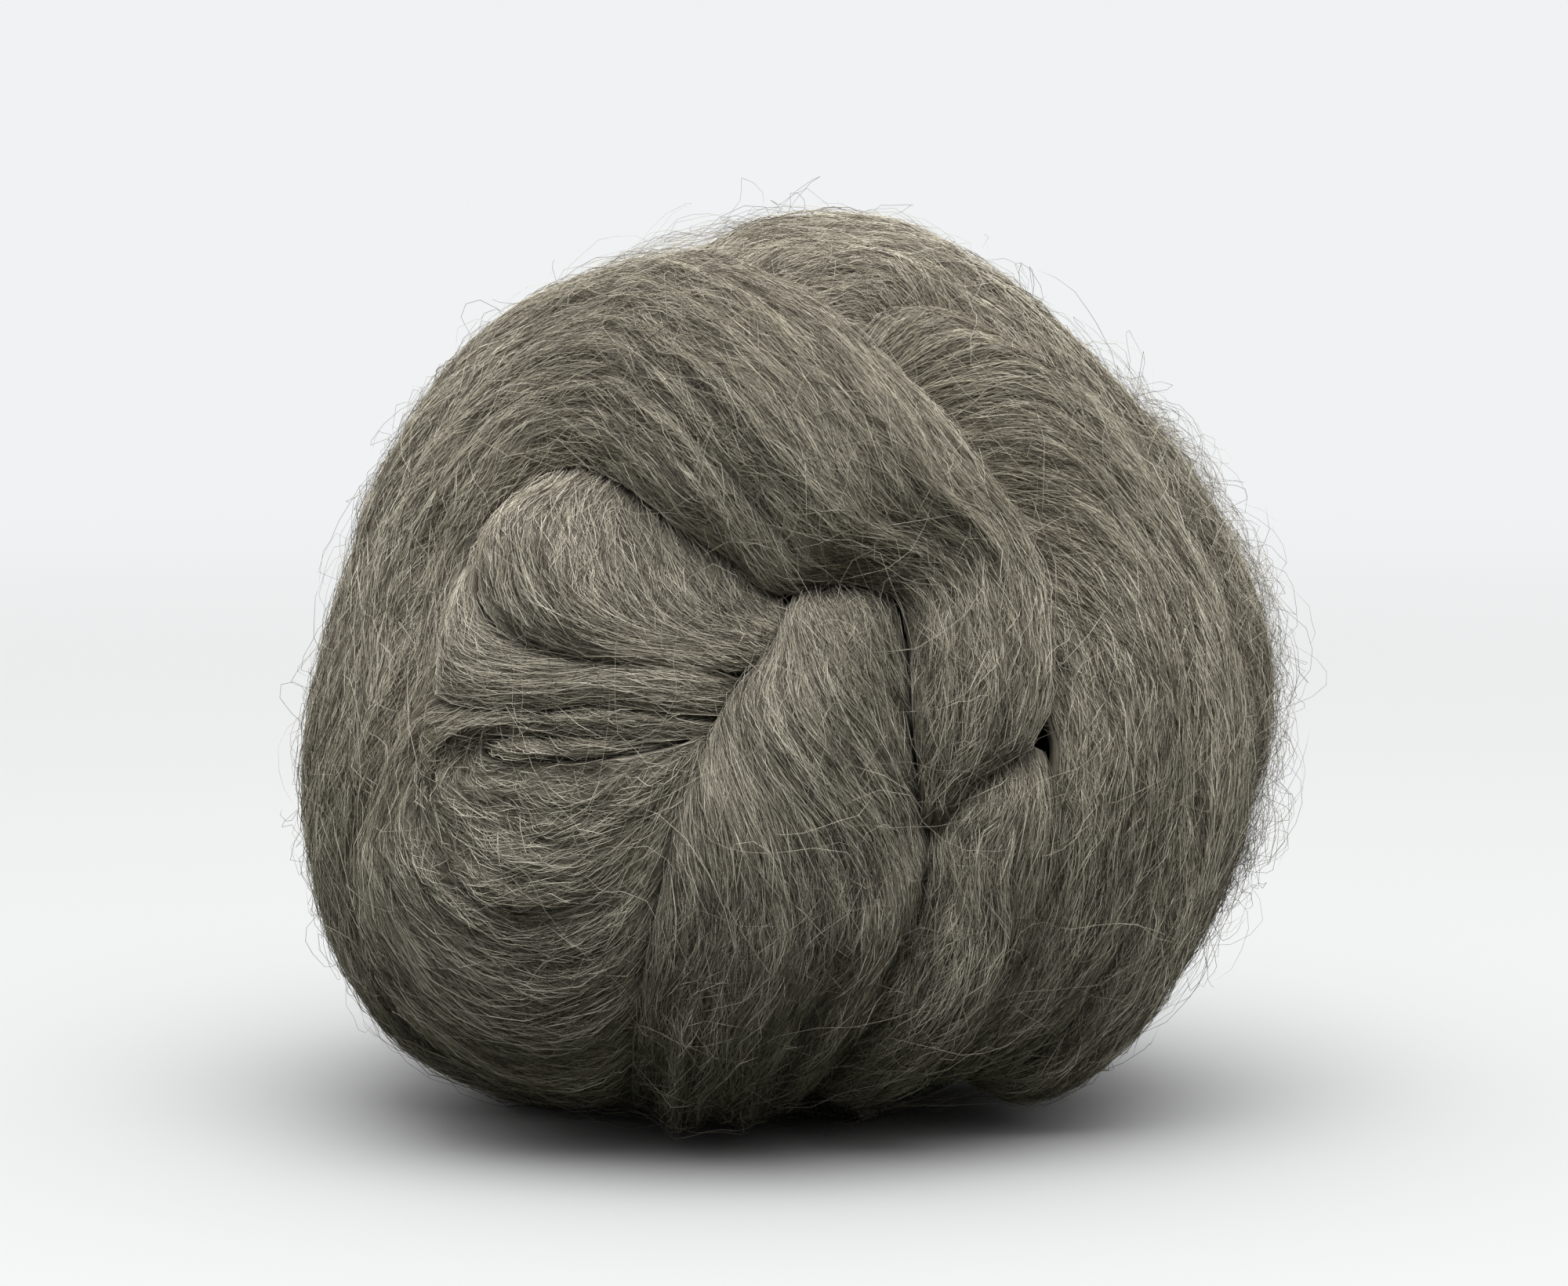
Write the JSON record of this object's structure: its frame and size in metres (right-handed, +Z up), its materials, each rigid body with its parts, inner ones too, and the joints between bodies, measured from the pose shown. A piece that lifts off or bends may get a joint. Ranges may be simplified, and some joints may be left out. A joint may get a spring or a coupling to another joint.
{
  "type": "wool dryer ball",
  "caption": "Loose ball of combed natural wool: a thick soft strand folded and wound on itself, resting on a small flat.",
  "frame": {"origin": "middle of the ball's box, at the flat it rests on", "axes": "+Z up, -Y to the front where the folds show, +X to the right"},
  "size_m": [0.1114, 0.1156, 0.1024],
  "materials": {
    "outer_wool": "loose combed natural grey-brown wool, matt, with stray fibres",
    "inner_wool": "the same wool, packed tighter"
  },
  "bodies": {
    "root": {"arch_hoop": "outer_wool", "front_fold": "outer_wool", "knob_fold": "outer_wool", "back_cross": "outer_wool", "tail_end": "outer_wool", "under_wrap": "outer_wool", "right_wrap": "outer_wool", "throat_strip": "outer_wool", "inner_fold": "outer_wool", "swirl_fold": "outer_wool", "swirl_eye": "outer_wool", "lower_right_fold": "outer_wool", "crown_wrap": "outer_wool", "back_wrap_upper": "outer_wool", "back_wrap_lower": "outer_wool", "core_ball": "inner_wool", "inner_turn_1": "inner_wool", "inner_turn_2": "inner_wool", "inner_turn_3": "inner_wool", "inner_turn_4": "inner_wool", "inner_turn_5": "inner_wool"}
  },
  "joints": []
}
